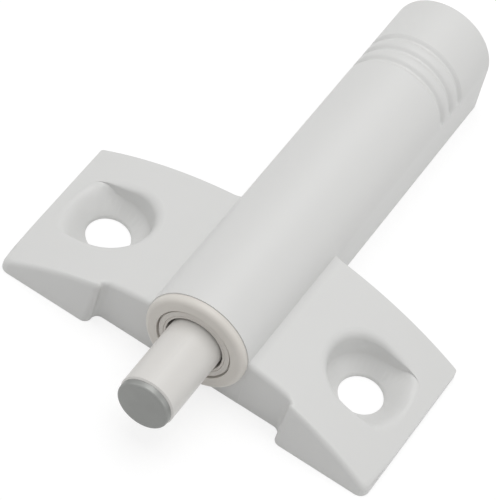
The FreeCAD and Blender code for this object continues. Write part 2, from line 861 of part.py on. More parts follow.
def end_plug(doc, s):
    """The plug that snaps into the sleeve's rear: spring pilot, snap bead, and the follower's pivot."""
    body = new_body(doc, "end_plug")
    sketch = new_sketch(body, "PlugSection", "YZ_Plane")
    seat = plug_seat(s)
    shoulder = sleeve_rear(s)
    rear = shoulder + s.plug_cap_thickness
    spigot = sleeve_bore(s) - s.spigot_clearance
    bead = spigot + s.snap_depth - s.snap_clearance
    bead_front = shoulder - s.snap_setback + s.snap_clearance
    bead_rear = bead_front + s.snap_width - s.snap_clearance * 2
    lead = s.snap_depth
    points = [
        (seat - s.pilot_length, 0),
        (seat - s.pilot_length, pilot_radius(s)),
        (seat, pilot_radius(s)),
        (seat, spigot),
        (bead_front, spigot),
        (bead_front + lead, bead),
        (bead_rear, bead),
        (bead_rear, spigot),
        (shoulder, spigot),
        (shoulder, sleeve_radius(s)),
        (rear - s.plug_cap_chamfer, sleeve_radius(s)),
        (rear, sleeve_radius(s) - s.plug_cap_chamfer),
        (rear, 0),
    ]
    draw_outline(sketch, points)
    revolve(body, "Revolution", sketch, "Plug")
    slot = new_sketch(body, "FollowerSlotOutline", "XY_Plane", offset=s.cam_flat_height)
    slot_front = seat - s.pilot_length - OVERRUN
    slot_rear = pivot_place(s) + s.follower_radius + s.cam_clearance
    half = s.slot_half_width
    draw_outline(slot, [(-half, slot_front), (half, slot_front), (half, slot_rear), (-half, slot_rear)])
    extrude(body, "Pocket", slot, "FollowerSlot", sleeve_bore(s), reverse=True)
    hole = new_sketch(body, "PivotHoleCircle", "XY_Plane", offset=s.cam_flat_height)
    draw_circle(hole, (0, pivot_place(s)), s.follower_radius + s.pivot_clearance)
    extrude(body, "Pocket", hole, "PivotHole", s.pivot_depth + s.follower_gap)
    lift_to_axis(body, s)
    return body


def follower_pin(doc, s):
    """The bent wire: its tip runs in the track, and its rear leg turns in the plug."""
    body = new_body(doc, "follower_pin")
    tip = s.cam_flat_height - s.cam_depth + s.ramp_rise + s.follower_gap
    top = follower_height(s)
    bend = s.follower_bend
    rest = follower_rest(s)
    pivot = pivot_place(s)
    bottom = s.cam_flat_height - s.pivot_depth
    path = new_sketch(body, "WireLine", "YZ_Plane")
    places = [
        (rest, tip),
        (rest, top - bend),
        (rest + bend, top),
        (pivot - bend, top),
        (pivot, top - bend),
        (pivot, bottom),
    ]
    draw_line(path, places)
    section = new_sketch(body, "WireSection", "XY_Plane", offset=tip)
    draw_circle(section, (0, rest), s.follower_radius)
    wire = body.newObject("PartDesign::AdditivePipe", "Wire")
    wire.Profile = section
    wire.Spine = path
    wire.Transition = "Right corner"
    lift_to_axis(body, s)
    return body


def plunger_spring(doc, s):
    """The compression spring between the plunger's tail and the end plug, swept along its coil."""
    radius = spring_radius(s).value
    wire_radius = s.spring_wire_radius.value
    front = tail_rear(s).value + wire_radius
    length = plug_seat(s).value - wire_radius - front
    steps = round(s.spring_turns.value * SPRING_SIDES)
    places = []
    for step in range(steps + 1):
        turn = 2 * math.pi * step / SPRING_SIDES
        places.append(Vector(radius * math.cos(turn), front + length * step / steps, radius * math.sin(turn)))
    coil = Part.makePolygon(places)
    along = (places[1] - places[0]).normalize()
    across = along.cross(Vector(1, 0, 0)).normalize()
    outward = across.cross(along)
    corners = []
    for corner in range(WIRE_FLATS + 1):
        turn = 2 * math.pi * (corner % WIRE_FLATS) / WIRE_FLATS
        corners.append(places[0] + (outward * math.cos(turn) + across * math.sin(turn)) * wire_radius)
    section = Part.makePolygon(corners)
    mitred = 1
    spring = doc.addObject("Part::Feature", "plunger_spring")
    spring.Label = "plunger_spring"
    spring.Shape = coil.makePipeShell([section], True, False, mitred)
    lift_to_axis(spring, s)
    return spring


def check_features(doc):
    """Stops before anything is written if a feature failed."""
    for item in doc.Objects:
        if "Invalid" in item.State or "Error" in item.State:
            raise RuntimeError(item.Label + " failed: " + str(item.State))


def write_parts(parts):
    os.makedirs("parts", exist_ok=True)
    for part in parts:
        if part.Shape.isNull() or not part.Shape.isValid():
            raise RuntimeError(part.Label + " has no valid shape")
    for part in parts:
        part.Shape.exportStep("parts/" + part.Label + ".step")
        print(part.Label, len(part.Shape.Solids), round(part.Shape.Volume, 2))


def main():
    doc = FreeCAD.newDocument("CupboardLatch")
    sizes = Sizes(doc)
    doc.recompute()
    makers = (
        mounting_bracket,
        cartridge_sleeve,
        guide_bush,
        plunger,
        magnet,
        end_plug,
        follower_pin,
        plunger_spring,
    )
    parts = [maker(doc, sizes) for maker in makers]
    doc.recompute()
    check_features(doc)
    write_parts(parts)


main()
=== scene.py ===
import math

import bmesh
import bpy
from mathutils import Matrix, Vector


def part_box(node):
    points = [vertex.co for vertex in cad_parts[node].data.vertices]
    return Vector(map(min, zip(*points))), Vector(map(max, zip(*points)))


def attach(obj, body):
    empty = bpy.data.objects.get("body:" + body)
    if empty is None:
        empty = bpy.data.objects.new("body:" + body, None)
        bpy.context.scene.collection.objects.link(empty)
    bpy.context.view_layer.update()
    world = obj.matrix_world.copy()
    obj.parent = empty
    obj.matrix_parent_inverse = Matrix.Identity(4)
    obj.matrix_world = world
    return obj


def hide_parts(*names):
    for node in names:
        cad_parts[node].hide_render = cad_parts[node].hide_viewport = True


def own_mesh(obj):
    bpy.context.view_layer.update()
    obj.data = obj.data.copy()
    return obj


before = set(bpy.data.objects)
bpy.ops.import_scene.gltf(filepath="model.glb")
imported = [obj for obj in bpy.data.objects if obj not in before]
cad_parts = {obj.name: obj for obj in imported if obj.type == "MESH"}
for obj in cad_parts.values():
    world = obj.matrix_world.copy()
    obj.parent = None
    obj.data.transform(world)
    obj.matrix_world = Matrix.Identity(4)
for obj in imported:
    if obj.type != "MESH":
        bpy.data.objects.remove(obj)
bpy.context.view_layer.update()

# Lengths are in millimetres in the frame of the part, until a piece is finished in metres
MM = 0.001

# Tube and its end faces
AXIS_HEIGHT = 5.95
TUBE_RADIUS = 6.05
TUBE_BASE_HALF_WIDTH = 6.25
BORE_RADIUS = 5.03
MOUTH = -9.25
TUBE_REAR = 43.45
TUBE_END_ROUND = 0.3
TUBE_STEPS = 96
BORE_LEAD = 0.2

# Wings
WING_REACH = 22.75
WING_FRONT = -11.0
WING_REAR = 8.75
WING_TIP_HEIGHT = 1.1
WING_CROWN = 0.75
SHOULDER = Vector((6.95, 6.6))
ROOT = Vector((5.9, 7.05))
SWEEP_RADIUS = 2.3
STEP_REACH = 11.55
STEP_ROUND = 0.85
FRONT_CORNER_ROUND = 1.1
REAR_CORNER_ROUND = 0.25
FRONT_EDGE_ROUND = 0.65
FRONT_LEAN = 0.17

# The wings are cut while their top is still flat at this height, and then shaped
FLAT_TOP = 7.0
# Two solids that overlap or touch keep this far from sharing a plane
SEAM = 0.01
# Points closer than this are one point
JOIN = 0.0005

# Screw recesses. They are cut round, and then drawn out towards the wings' ends
SCREW_REACH = 16.0
SCREW_HOLE_RADIUS = 2.5
SCREW_LAND = 0.35
CONE_SLOPE = 0.78
HEAD_RADIUS = 4.45
HEAD_SHIFT = 0.4
HEAD_REACH = 5.4
RIM_WIDTH = 0.9
RIM_DROP = 1.5
WALL_FOOT = SCREW_LAND + CONE_SLOPE * (HEAD_RADIUS - SCREW_HOLE_RADIUS)
# The recess runs out softly where its floor comes up to the wing's top
RUN_OUT = 0.9
# The run-out stays this far under the top, so that no two points fall together
SKIN = 0.01
RECESS_STEPS = 128

# Cored slots in the underside
SLOT_INNER = 7.75
SLOT_OUTER = 10.15
SLOT_FRONT = -7.75
SLOT_REAR = 7.25
SLOT_DEPTH = 4.2

# Ring grooves near the rear of the tube
GROOVE_PLACES = (36.2, 34.2, 32.2)
GROOVE_HALF_WIDTH = 0.5
GROOVE_FLOOR = 0.14
GROOVE_DEPTH = 0.36
GROOVE_LIP = 0.3
GROOVE_LIP_RISE = 0.07
GROOVE_RUN_OUT = math.radians(7)

# Turned pieces of the cartridge
ROUND_STEPS = 160
NOSE_FRONT = -10.25
NOSE_RADIUS = 5.94
SLEEVE_REAR = 41.1
SLEEVE_RADIUS = 5.0
SLEEVE_BORE_RADIUS = 4.0
SNAP_GROOVE_FRONT = 38.0
SNAP_GROOVE_REAR = 39.0
SNAP_GROOVE_RADIUS = 4.3
KEY_HALF_WIDTH = 0.5
KEY_REAR = 8.8
BUSH_FRONT = -10.12
BUSH_REAR = -5.2
BUSH_RADIUS = 4.35
BUSH_POCKET_RADIUS = 4.38
ROD_BORE_RADIUS = 3.25
ROD_RELIEF_RADIUS = 3.4
ROD_RELIEF_DEPTH = 3.6
RING_RADIUS = 3.65
RING_WIDTH = 0.07
PARTING_RADIUS = 4.24
PARTING_DEPTH = 0.25

# Magnet: its seat in the plunger, and its wider part in front of the rod
MAGNET_SEAT = -18.1
MAGNET_SEAT_RADIUS = 2.9
MAGNET_SEAT_EDGE = 0.08
MAGNET_STEP = -19.27
MAGNET_RADIUS = 3.0
MAGNET_FACE = -20.1
MAGNET_FACE_RADIUS = 2.658
MAGNET_FACE_SWELL = 0.022
MAGNET_RIM_START = -19.77
MAGNET_RIM_ROUND = 0.31

# Compression spring
COIL_RADIUS = 3.4
WIRE_RADIUS = 0.25
TURN_STEPS = 40
OPEN_TURNS = 7.5
CLOSED_RISE = 0.56

# Where the photograph was taken from
CAMERA_PLACE = Vector((57.27, -192.32, 260.44))
CAMERA_AIM = Vector((-1.96, 3.93, 5.95))
CAMERA_ROLL = math.radians(18.7)
CAMERA_LENS = 223.9
SENSOR_WIDTH = 36.0


class Pen:
    """Draws a chain of edges from point to point."""

    def __init__(self, shape, place):
        self.shape = shape
        self.tip = bmesh.ops.create_vert(shape, co=place)["vert"][0]
        self.corners = [self.tip]

    def to(self, place):
        self.tip = bmesh.ops.extrude_vert_indiv(self.shape, verts=[self.tip])["verts"][0]
        self.tip.co = place
        self.corners.append(self.tip)

    def turn(self, centre, axis, angle, steps):
        """A round stretch about the axis through the centre."""
        swept = bmesh.ops.spin(
            self.shape, geom=[self.tip], cent=centre, axis=axis, angle=angle, steps=steps, use_duplicate=False
        )
        self.tip = [item for item in swept["geom_last"] if isinstance(item, bmesh.types.BMVert)][0]
        self.corners.append(self.tip)

    def close(self):
        bmesh.ops.contextual_create(self.shape, geom=[self.tip, self.corners[0]])


def round_corners(shape, corners, cuts, segments=6):
    """Rounds the corners of a chain. Each cut is how far the round reaches along both edges."""
    for corner, cut in zip(corners, cuts):
        if cut:
            bmesh.ops.bevel(
                shape, geom=[corner], offset=cut, offset_type="OFFSET", segments=segments, profile=0.5,
                affect="VERTICES", material=-1
            )


def filled(shape):
    bmesh.ops.contextual_create(shape, geom=list(shape.edges))
    return shape.faces[:]


def closed_up(shape):
    bmesh.ops.remove_doubles(shape, verts=list(shape.verts), dist=JOIN)
    bmesh.ops.dissolve_degenerate(shape, edges=list(shape.edges), dist=JOIN)
    bmesh.ops.recalc_face_normals(shape, faces=list(shape.faces))


def new_piece(name, shape):
    """An object in the scene that holds the shape, still in millimetres."""
    closed_up(shape)
    mesh = bpy.data.meshes.new(name)
    shape.to_mesh(mesh)
    shape.free()
    piece = bpy.data.objects.new(name, mesh)
    bpy.context.scene.collection.objects.link(piece)
    return piece


def combine(piece, tool, operation):
    change = piece.modifiers.new(tool.name, "BOOLEAN")
    change.operation = operation
    change.solver = "EXACT"
    change.object = tool


def settle(piece):
    """Turns the piece's modifiers into its mesh, and takes the tools that they used out of the scene."""
    tools = [change.object for change in piece.modifiers if change.type == "BOOLEAN"]
    graph = bpy.context.evaluated_depsgraph_get()
    mesh = bpy.data.meshes.new_from_object(piece.evaluated_get(graph))
    before = piece.data
    piece.modifiers.clear()
    piece.data = mesh
    bpy.data.meshes.remove(before)
    for tool in tools:
        used = tool.data
        bpy.data.objects.remove(tool)
        bpy.data.meshes.remove(used)
    shape = opened(piece)
    closed_up(shape)
    stored(piece, shape)


def opened(piece):
    shape = bmesh.new()
    shape.from_mesh(piece.data)
    return shape


def stored(piece, shape):
    shape.to_mesh(piece.data)
    shape.free()


def finish_piece(piece, material, sharp_angle=40.0):
    """Smooth shading between the sharp edges, the material, and the change to metres."""
    shape = opened(piece)
    closed_up(shape)
    limit = math.radians(sharp_angle)
    for face in shape.faces:
        face.smooth = True
        face.material_index = 0
    for edge in shape.edges:
        edge.smooth = edge.calc_face_angle(0.0) < limit
    bmesh.ops.scale(shape, vec=(MM, MM, MM), verts=list(shape.verts))
    stored(piece, shape)
    piece.data.materials.clear()
    piece.data.materials.append(material)
    normals = piece.modifiers.new("even_normals", "WEIGHTED_NORMAL")
    normals.keep_sharp = True


def turned(name, profile, closed=True, segments=4):
    """A piece turned about the tube's axis, from (along, radius, rounding) corners."""
    shape = bmesh.new()
    pen = None
    for along, radius, _ in profile:
        place = Vector((0, along, AXIS_HEIGHT + radius))
        if pen is None:
            pen = Pen(shape, place)
        else:
            pen.to(place)
    corners = list(pen.corners)
    if closed:
        pen.close()
    round_corners(shape, corners, [cut for _, _, cut in profile], segments)
    bmesh.ops.spin(
        shape, geom=list(shape.verts) + list(shape.edges), cent=(0, 0, AXIS_HEIGHT), axis=(0, 1, 0),
        angle=2 * math.pi, steps=ROUND_STEPS, use_merge=True, use_duplicate=False
    )
    return new_piece(name, shape)


def block(name, low, high):
    """A plain box between two corners."""
    low, high = Vector(low), Vector(high)
    shape = bmesh.new()
    bmesh.ops.create_cube(shape, size=1.0)
    bmesh.ops.scale(shape, vec=high - low, verts=list(shape.verts))
    bmesh.ops.translate(shape, vec=(low + high) / 2, verts=list(shape.verts))
    return new_piece(name, shape)


def arc_centre(start, end, radius, side):
    """Centre of the arc from start to end, above their chord for side 1 and below it for side -1."""
    chord = end - start
    across = Vector((-chord.y, chord.x)).normalized()
    return (start + end) / 2 + across * side * math.sqrt(radius ** 2 - (chord.length / 2) ** 2)


WING_TIP = Vector((WING_REACH, WING_TIP_HEIGHT))
CROWN_RADIUS = (WING_TIP - SHOULDER).length ** 2 / (8 * WING_CROWN) + WING_CROWN / 2
CROWN_CENTRE = arc_centre(SHOULDER, WING_TIP, CROWN_RADIUS, -1)
SWEEP_CENTRE = arc_centre(ROOT, SHOULDER, SWEEP_RADIUS, 1)


def wing_top(x):
    """Height of the wing's top at a distance across from the tube's axis."""
    reach = abs(x)
    if reach <= ROOT.x:
        return ROOT.y
    if reach < SHOULDER.x:
        return SWEEP_CENTRE.y - math.sqrt(SWEEP_RADIUS ** 2 - (reach - SWEEP_CENTRE.x) ** 2)
    return CROWN_CENTRE.y + math.sqrt(CROWN_RADIUS ** 2 - (reach - CROWN_CENTRE.x) ** 2)


def wing_slab():
    """Both wings in plan with the stepped front, under a flat top, with the upper edges along their stepped
    front rounded.
    """
    shape = bmesh.new()
    mouth = MOUTH + SEAM
    right = [
        (WING_REACH, WING_REAR, REAR_CORNER_ROUND),
        (WING_REACH, WING_FRONT, FRONT_CORNER_ROUND),
        (STEP_REACH, WING_FRONT, STEP_ROUND),
        (STEP_REACH, mouth, STEP_ROUND),
    ]
    plan = right + [(-x, y, cut) for x, y, cut in reversed(right)]
    pen = Pen(shape, Vector((plan[0][0], plan[0][1], SEAM)))
    for x, y, _ in plan[1:]:
        pen.to(Vector((x, y, SEAM)))
    corners = list(pen.corners)
    pen.close()
    round_corners(shape, corners, [cut for _, _, cut in plan], 8)
    raised = bmesh.ops.extrude_face_region(shape, geom=filled(shape))
    top = [item for item in raised["geom"] if isinstance(item, bmesh.types.BMVert)]
    bmesh.ops.translate(shape, vec=(0, 0, FLAT_TOP - SEAM), verts=top)
    closed_up(shape)
    soften_edges(shape, lambda middle: middle.y < MOUTH + 2 * SEAM, FRONT_EDGE_ROUND, 7)
    return new_piece("wing_slab", shape)


def soften_edges(shape, wanted, width, segments):
    """Rounds the edges of the flat top whose middle is wanted."""
    chosen = []
    for edge in shape.edges:
        level = all(vert.co.z > FLAT_TOP - SEAM for vert in edge.verts)
        folded = edge.calc_face_angle(0.0) > math.radians(60)
        if level and folded and wanted((edge.verts[0].co + edge.verts[1].co) / 2):
            chosen.append(edge)
    bmesh.ops.bevel(
        shape, geom=chosen, offset=width, offset_type="OFFSET", segments=segments, profile=0.5,
        affect="EDGES", material=-1
    )


def recess_cutter(side):
    """Screw hole, dished countersink and head recess, with a rim that rolls over into the wing's top."""
    shape = bmesh.new()
    centre = side * SCREW_REACH
    pen = Pen(shape, Vector((centre, 0, -1)))
    wall = [
        (SCREW_HOLE_RADIUS, -1.0),
        (SCREW_HOLE_RADIUS, SCREW_LAND - 0.12),
        (SCREW_HOLE_RADIUS + 0.06, SCREW_LAND),
        (SCREW_HOLE_RADIUS + 0.2, SCREW_LAND + 0.2 * CONE_SLOPE),
        (HEAD_RADIUS - 0.4, WALL_FOOT - 0.4 * CONE_SLOPE),
        (HEAD_RADIUS - 0.18, WALL_FOOT - 0.04),
        (HEAD_RADIUS - 0.05, WALL_FOOT + 0.22),
        (HEAD_RADIUS, WALL_FOOT + 0.6),
    ]
    for radius, height in wall:
        pen.to(Vector((centre + radius, 0, height)))
    for step in range(13):
        turn = math.radians(step * 7.2)
        radius = HEAD_RADIUS + RIM_WIDTH * (1 - math.cos(turn))
        pen.to(Vector((centre + radius, 0, FLAT_TOP - RIM_DROP * (1 - math.sin(turn)))))
    pen.to(Vector((centre + HEAD_RADIUS + RIM_WIDTH, 0, FLAT_TOP + 1)))
    pen.to(Vector((centre, 0, FLAT_TOP + 1)))
    bmesh.ops.spin(
        shape, geom=list(shape.verts) + list(shape.edges), cent=(centre, 0, 0), axis=(0, 0, 1),
        angle=2 * math.pi, steps=RECESS_STEPS, use_merge=True, use_duplicate=False
    )
    return new_piece("recess_cutter", shape)


def wall_reach(turn):
    """Distance of the recess wall from the screw's axis.

    The wall is round towards the tube, and drawn out straight away from it.
    """
    away, across = math.cos(turn), math.sin(turn)
    reach, power = (HEAD_REACH, 5) if away > 0 else (HEAD_RADIUS, 2)
    distance = (abs(away / reach) ** power + abs(across / HEAD_RADIUS) ** power) ** (-1 / power)
    return distance - HEAD_SHIFT * across


def spread_out(distance, turn):
    """The distance from the screw's axis in the drawn-out recess for one in the round recess."""
    wall = wall_reach(turn)
    if distance > HEAD_RADIUS:
        return distance + wall - HEAD_RADIUS
    share = (distance - SCREW_HOLE_RADIUS) / (HEAD_RADIUS - SCREW_HOLE_RADIUS)
    return SCREW_HOLE_RADIUS + share * (wall - SCREW_HOLE_RADIUS)


def drawn_in(distance, turn):
    """The distance in the round recess for one in the drawn-out recess."""
    wall = wall_reach(turn)
    if distance > wall:
        return distance - wall + HEAD_RADIUS
    share = (distance - SCREW_HOLE_RADIUS) / (wall - SCREW_HOLE_RADIUS)
    return SCREW_HOLE_RADIUS + share * (HEAD_RADIUS - SCREW_HOLE_RADIUS)


def from_screw(place):
    away = abs(place.x) - SCREW_REACH
    return math.hypot(away, place.y), math.atan2(place.y, away)


def spread_recesses(wings):
    """Draws both round recesses out towards the wings' ends."""
    shape = opened(wings)
    for vert in shape.verts:
        distance, turn = from_screw(vert.co)
        if SCREW_HOLE_RADIUS + SEAM < distance < HEAD_RADIUS + RIM_WIDTH + SEAM:
            spread = spread_out(distance, turn)
            side = math.copysign(1, vert.co.x)
            vert.co.x = side * (SCREW_REACH + spread * math.cos(turn))
            vert.co.y = spread * math.sin(turn)
    stored(wings, shape)


def soft_lower(first, second):
    """The lower of two heights, with the turn between them eased."""
    share = min(max(0.5 + (second - first) / (2 * RUN_OUT), 0), 1)
    return second + (first - second) * share - RUN_OUT * share * (1 - share)


def seated_height(place):
    """Where a point of the flat-topped wings lies once the top is crowned."""
    if place.z < 2 * SEAM:
        return place.z
    top = wing_top(place.x)
    distance, turn = from_screw(place)
    if distance < wall_reach(turn) + RIM_WIDTH + SEAM:
        raised = CONE_SLOPE * max(distance - drawn_in(distance, turn), 0)
        foot = soft_lower(min(place.z, WALL_FOOT) + raised, top - SKIN)
        share = max(place.z - WALL_FOOT, 0) / (FLAT_TOP - WALL_FOOT)
        return foot + (top - foot) * share
    if place.z > FLAT_TOP - 1.5 * FRONT_EDGE_ROUND:
        return place.z + top - FLAT_TOP
    return place.z


def lean_front(vert):
    """Leans the outer wings' front faces back, more the higher they reach."""
    if vert.co.y < MOUTH:
        share = (MOUTH - vert.co.y) / (MOUTH - WING_FRONT)
        vert.co.y += FRONT_LEAN * vert.co.z * share


def crown_wings(wings):
    """Slices the wings across, then gives their flat top its crown and its sweep up to the tube."""
    shape = opened(wings)
    sweep = [ROOT.x + (SHOULDER.x - ROOT.x) * step / 7 for step in range(8)]
    crown = [SHOULDER.x + (WING_REACH - SHOULDER.x) * step / 24 for step in range(1, 24)]
    for reach in sweep + crown:
        for side in (1, -1):
            everything = list(shape.verts) + list(shape.edges) + list(shape.faces)
            bmesh.ops.bisect_plane(
                shape, geom=everything, dist=1e-5, plane_co=(side * reach, 0, 0), plane_no=(1, 0, 0)
            )
    for vert in shape.verts:
        vert.co.z = seated_height(vert.co)
        lean_front(vert)
    stored(wings, shape)


def groove_cutter(along):
    """A round-lipped groove over the top of the tube that runs out softly at both ends."""
    shape = bmesh.new()
    half = GROOVE_HALF_WIDTH
    outer = half + GROOVE_LIP
    section = [
        (-outer, GROOVE_LIP_RISE, 0),
        (-half, 0.0, 0.25),
        (-GROOVE_FLOOR, -GROOVE_DEPTH, 0.1),
        (GROOVE_FLOOR, -GROOVE_DEPTH, 0.1),
        (half, 0.0, 0.25),
        (outer, GROOVE_LIP_RISE, 0),
        (outer, 0.8, 0),
        (-outer, 0.8, 0),
    ]
    pen = None
    for place, height, _ in section:
        point = Vector((0, along + place, AXIS_HEIGHT + TUBE_RADIUS + height))
        if pen is None:
            pen = Pen(shape, point)
        else:
            pen.to(point)
    corners = list(pen.corners)
    pen.close()
    round_corners(shape, corners, [cut for _, _, cut in section], 4)
    steps = TUBE_STEPS - 5
    arc = math.pi * steps / TUBE_STEPS
    faces = filled(shape)
    bmesh.ops.rotate(
        shape, cent=(0, 0, AXIS_HEIGHT), matrix=Matrix.Rotation(-arc / 2, 3, "Y"), verts=list(shape.verts)
    )
    bmesh.ops.spin(
        shape, geom=faces, cent=(0, 0, AXIS_HEIGHT), axis=(0, 1, 0), angle=arc, steps=steps,
        use_duplicate=False
    )
    for vert in shape.verts:
        across, up = vert.co.x, vert.co.z - AXIS_HEIGHT
        past = abs(math.atan2(across, up)) - arc / 2 + GROOVE_RUN_OUT
        if past > 0:
            lift = 1 + 0.075 * (past / GROOVE_RUN_OUT) ** 2
            vert.co.x = across * lift
            vert.co.z = AXIS_HEIGHT + up * lift
    return new_piece("groove_cutter", shape)


def tube_body():
    """The tube: round over the top, with sides that spread a little down to a flat base."""
    shape = bmesh.new()
    pen = Pen(shape, Vector((-TUBE_BASE_HALF_WIDTH, MOUTH, 0)))
    pen.to(Vector((-TUBE_RADIUS, MOUTH, AXIS_HEIGHT)))
    pen.turn((0, MOUTH, AXIS_HEIGHT), (0, 1, 0), math.pi, TUBE_STEPS)
    pen.to(Vector((TUBE_BASE_HALF_WIDTH, MOUTH, 0)))
    pen.close()
    raised = bmesh.ops.extrude_face_region(shape, geom=filled(shape))
    rear = [item for item in raised["geom"] if isinstance(item, bmesh.types.BMVert)]
    bmesh.ops.translate(shape, vec=(0, TUBE_REAR - MOUTH, 0), verts=rear)
    ends = []
    for edge in shape.edges:
        level = all(vert.co.y > TUBE_REAR - SEAM for vert in edge.verts)
        if level and any(vert.co.z > SEAM for vert in edge.verts):
            ends.append(edge)
    bmesh.ops.bevel(
        shape, geom=ends, offset=TUBE_END_ROUND, offset_type="OFFSET", segments=4, profile=0.5,
        affect="EDGES", material=-1
    )
    return new_piece("tube_body", shape)


def bore_cutter():
    """The tube's bore, with a small lead at its rear end."""
    profile = [
        (MOUTH - 3, 0, 0),
        (MOUTH - 3, BORE_RADIUS, 0),
        (TUBE_REAR - BORE_LEAD, BORE_RADIUS, 0),
        (TUBE_REAR + BORE_LEAD, BORE_RADIUS + 2 * BORE_LEAD, 0),
        (TUBE_REAR + BORE_LEAD, 0, 0),
    ]
    return turned("bore_cutter", profile, closed=False)


def build_bracket(material):
    wings = wing_slab()
    settle(wings)
    for side in (1, -1):
        combine(wings, recess_cutter(side), "DIFFERENCE")
        near, far = sorted((side * SLOT_INNER, side * SLOT_OUTER))
        slot = block("slot_cutter", (near, SLOT_FRONT, -1), (far, SLOT_REAR, SLOT_DEPTH))
        combine(wings, slot, "DIFFERENCE")
    settle(wings)
    spread_recesses(wings)
    crown_wings(wings)
    tube = tube_body()
    for place in GROOVE_PLACES:
        combine(tube, groove_cutter(place), "DIFFERENCE")
        settle(tube)
    combine(tube, wings, "UNION")
    settle(tube)
    combine(tube, bore_cutter(), "DIFFERENCE")
    settle(tube)
    tube.name = "bracket_moulding"
    finish_piece(tube, material)
    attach(tube, "bracket")
    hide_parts("mounting_bracket")


def build_sleeve(material):
    """The cartridge's sleeve, with a round nose, a pocket for the bush and the plug's snap groove."""
    profile = [
        (NOSE_FRONT, BUSH_POCKET_RADIUS + 0.06, 0.0),
        (NOSE_FRONT, NOSE_RADIUS, 0.62),
        (MOUTH, NOSE_RADIUS, 0.04),
        (MOUTH, SLEEVE_RADIUS, 0.0),
        (SLEEVE_REAR, SLEEVE_RADIUS, 0.2),
        (SLEEVE_REAR, SLEEVE_BORE_RADIUS, 0.2),
        (SNAP_GROOVE_REAR, SLEEVE_BORE_RADIUS, 0.05),
        (SNAP_GROOVE_REAR, SNAP_GROOVE_RADIUS, 0.08),
        (SNAP_GROOVE_FRONT, SNAP_GROOVE_RADIUS, 0.08),
        (SNAP_GROOVE_FRONT, SLEEVE_BORE_RADIUS, 0.05),
        (BUSH_REAR, SLEEVE_BORE_RADIUS, 0.05),
        (BUSH_REAR, BUSH_POCKET_RADIUS, 0.0),
        (BUSH_FRONT, BUSH_POCKET_RADIUS, 0.0),
    ]
    sleeve = turned("sleeve_moulding", profile, segments=10)
    low = (-KEY_HALF_WIDTH, BUSH_REAR + SEAM, AXIS_HEIGHT - SLEEVE_BORE_RADIUS - 0.3)
    high = (KEY_HALF_WIDTH, KEY_REAR, AXIS_HEIGHT - SLEEVE_BORE_RADIUS + 0.6)
    key = block("key_rib", low, high)
    combine(sleeve, key, "UNION")
    settle(sleeve)
    finish_piece(sleeve, material)
    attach(sleeve, "bracket")
    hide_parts("cartridge_sleeve")


def build_bush(material):
    """The guide bush, with a relief round the rod, a fine ring on its face and a parting groove."""
    profile = [
        (BUSH_FRONT, ROD_RELIEF_RADIUS, 0.05),
        (BUSH_FRONT, RING_RADIUS - RING_WIDTH, 0.0),
        (BUSH_FRONT + RING_WIDTH, RING_RADIUS, 0.0),
        (BUSH_FRONT, RING_RADIUS + RING_WIDTH, 0.0),
        (BUSH_FRONT, PARTING_RADIUS, 0.05),
        (BUSH_FRONT + PARTING_DEPTH, PARTING_RADIUS, 0.0),
        (BUSH_FRONT + PARTING_DEPTH, BUSH_RADIUS, 0.0),
        (BUSH_REAR, BUSH_RADIUS, 0.12),
        (BUSH_REAR, ROD_BORE_RADIUS, 0.12),
        (BUSH_FRONT + ROD_RELIEF_DEPTH, ROD_BORE_RADIUS, 0.0),
        (BUSH_FRONT + ROD_RELIEF_DEPTH, ROD_RELIEF_RADIUS, 0.0),
    ]
    bush = turned("bush_moulding", profile, segments=6)
    finish_piece(bush, material)
    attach(bush, "bracket")
    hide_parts("guide_bush")


def build_magnet(material):
    """The disc magnet, with a round rim and a face that swells very slightly."""
    side = [
        (MAGNET_SEAT, MAGNET_SEAT_RADIUS - MAGNET_SEAT_EDGE),
        (MAGNET_SEAT - MAGNET_SEAT_EDGE, MAGNET_SEAT_RADIUS),
        (MAGNET_STEP, MAGNET_SEAT_RADIUS),
        (MAGNET_STEP - 0.02, MAGNET_RADIUS),
        (MAGNET_RIM_START, MAGNET_RADIUS),
    ]
    shape = bmesh.new()
    pen = Pen(shape, Vector((0, MAGNET_SEAT, AXIS_HEIGHT)))
    for along, radius in side:
        pen.to(Vector((0, along, AXIS_HEIGHT + radius)))
    rim_centre = (0, MAGNET_RIM_START, AXIS_HEIGHT + MAGNET_RADIUS - MAGNET_RIM_ROUND)
    pen.turn(rim_centre, (1, 0, 0), math.radians(84), 8)
    for step in range(1, 9):
        left = 1 - step / 8
        along = MAGNET_FACE + MAGNET_FACE_SWELL * left ** 2
        pen.to(Vector((0, along, AXIS_HEIGHT + MAGNET_FACE_RADIUS * left)))
    bmesh.ops.spin(
        shape, geom=list(shape.verts) + list(shape.edges), cent=(0, 0, AXIS_HEIGHT), axis=(0, 1, 0),
        angle=2 * math.pi, steps=ROUND_STEPS, use_merge=True, use_duplicate=False
    )
    magnet = new_piece("magnet_disc", shape)
    finish_piece(magnet, material)
    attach(magnet, "plunger")
    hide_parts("magnet")


